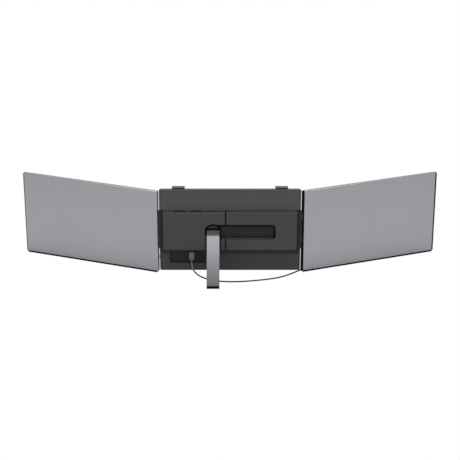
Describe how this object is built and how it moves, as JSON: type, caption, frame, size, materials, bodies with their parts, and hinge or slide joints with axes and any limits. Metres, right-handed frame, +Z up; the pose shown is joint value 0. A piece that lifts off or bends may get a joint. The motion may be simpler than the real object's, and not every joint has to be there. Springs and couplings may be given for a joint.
{
  "type": "laptop screen extender",
  "caption": "Laptop screen extender: portable screens hinged to a sliding centre with lid clips, a swivelling stand leg and a link cable.",
  "frame": {"origin": "on the table, under the middle of the footprint", "axes": "+X across, from the left half to the right half as seen from behind, +Y towards the viewer of the screens, +Z up"},
  "size_m": [0.9296, 0.2101, 0.2024],
  "materials": {
    "anodised_grey": "bead-blasted anodised, space grey",
    "stand_metal": "anodised, satin",
    "housing_plastic": "fine spark texture, charcoal",
    "dark_plastic": "fine texture, near black",
    "gloss_black": "polished",
    "display_glass": "anti-glare display surface",
    "light_guide": "clear moulding",
    "soft_rubber": "matt",
    "steel": "plain",
    "black_steel": "black zinc",
    "circuit_board": "solder mask",
    "nickel": "nickel plate",
    "acetal": "natural",
    "cable_jacket": "smooth jacket",
    "smoked_lens": "smoked clear moulding",
    "plug_grip": "fine texture"
  },
  "bodies": {
    "left_half": {"flex_cable_guide": "dark_plastic", "key_board": "circuit_board", "led_light_pipes": "smoked_lens", "left_clip_spring": "steel", "left_front_cover": "housing_plastic", "left_front_pads": "soft_rubber", "left_hinge_brackets": "black_steel", "left_hinge_cover": "dark_plastic", "left_hinge_pins": "steel", "left_housing_screws": "black_steel", "left_rear_shell": "housing_plastic", "link_cable": "cable_jacket", "main_board": "circuit_board", "mini_hdmi_receptacle": "nickel", "port_bay_liner": "dark_plastic", "rail_guides": "acetal", "stand_bush": "acetal", "usb_c_receptacles": "nickel", "usb_plug_body": "plug_grip", "usb_plug_shell": "nickel"},
    "left_screen": {"left_screen_back_cover": "anodised_grey", "left_screen_hinge_spine": "dark_plastic", "left_screen_bezel": "gloss_black", "left_screen_display_panel": "display_glass", "left_screen_backlight_unit": "light_guide", "left_screen_driver_board": "circuit_board", "left_screen_hinge_leaves": "black_steel", "left_screen_foot_strip": "soft_rubber"},
    "right_screen": {"right_screen_back_cover": "anodised_grey", "right_screen_hinge_spine": "dark_plastic", "right_screen_bezel": "gloss_black", "right_screen_display_panel": "display_glass", "right_screen_backlight_unit": "light_guide", "right_screen_driver_board": "circuit_board", "right_screen_hinge_leaves": "black_steel", "right_screen_foot_strip": "soft_rubber", "cable_gland": "soft_rubber"},
    "right_half": {"right_rear_shell": "housing_plastic", "right_front_cover": "housing_plastic", "right_housing_screws": "black_steel", "right_front_pads": "soft_rubber", "right_hinge_cover": "dark_plastic", "right_hinge_brackets": "black_steel", "right_hinge_pins": "steel", "right_clip_spring": "steel", "slide_rails": "steel", "rail_clamps": "acetal"},
    "left_clip": {"left_clip": "housing_plastic", "left_clip_pad": "soft_rubber"},
    "right_clip": {"right_clip": "housing_plastic", "right_clip_pad": "soft_rubber"},
    "outer_rocker": {"outer_rocker_key": "dark_plastic"},
    "inner_rocker": {"inner_rocker_key": "dark_plastic"},
    "stand_disc": {"stand_disc": "housing_plastic", "stand_retainer": "steel", "stand_screw": "steel", "stand_pin": "steel"},
    "stand_leg": {"stand_knuckle": "dark_plastic", "stand_leg": "stand_metal", "stand_foot": "soft_rubber"}
  },
  "joints": [
    {"name": "width_slide", "type": "slide", "parent": "left_half", "child": "right_half", "axis": [1, 0, 0], "range_m": [0, 0.06], "deforming": ["link_cable"]},
    {"name": "left_screen_hinge", "type": "hinge", "parent": "left_half", "child": "left_screen", "pos_m": [-0.16414, -0.01178, 0.1], "axis": [0, 0, -1], "range_deg": [-20.75, 159.25]},
    {"name": "right_screen_hinge", "type": "hinge", "parent": "right_half", "child": "right_screen", "pos_m": [0.15961, -0.00692, 0.1], "axis": [0, 0, 1], "range_deg": [-20.75, 159.25], "deforming": ["link_cable"]},
    {"name": "left_clip_slide", "type": "slide", "parent": "left_half", "child": "left_clip", "axis": [0, 0, 1], "range_m": [0, 0.025], "stiffness_N_per_m": 150, "springref_m": -0.02, "deforming": ["left_clip_spring"]},
    {"name": "right_clip_slide", "type": "slide", "parent": "right_half", "child": "right_clip", "axis": [0, 0, 1], "range_m": [0, 0.025], "stiffness_N_per_m": 150, "springref_m": -0.02, "deforming": ["right_clip_spring"]},
    {"name": "outer_rocker_tilt", "type": "hinge", "parent": "left_half", "child": "outer_rocker", "pos_m": [-0.1101, -0.02748, 0.1467], "axis": [0, 1, 0], "range_deg": [-3.5, 3.5], "stiffness_Nm_per_rad": 0.3},
    {"name": "inner_rocker_tilt", "type": "hinge", "parent": "left_half", "child": "inner_rocker", "pos_m": [-0.0743, -0.02748, 0.1467], "axis": [0, 1, 0], "range_deg": [-3.5, 3.5], "stiffness_Nm_per_rad": 0.3},
    {"name": "stand_swivel", "type": "hinge", "parent": "left_half", "child": "stand_disc", "pos_m": [-0.0369, -0.03308, 0.1053], "axis": [0, -1, 0], "range_deg": [0, 90]},
    {"name": "stand_tilt", "type": "hinge", "parent": "stand_disc", "child": "stand_leg", "pos_m": [-0.0369, -0.03308, 0.1053], "axis": [1, 0, 0], "range_deg": [0, 33.35], "deforming": ["link_cable"]}
  ]
}
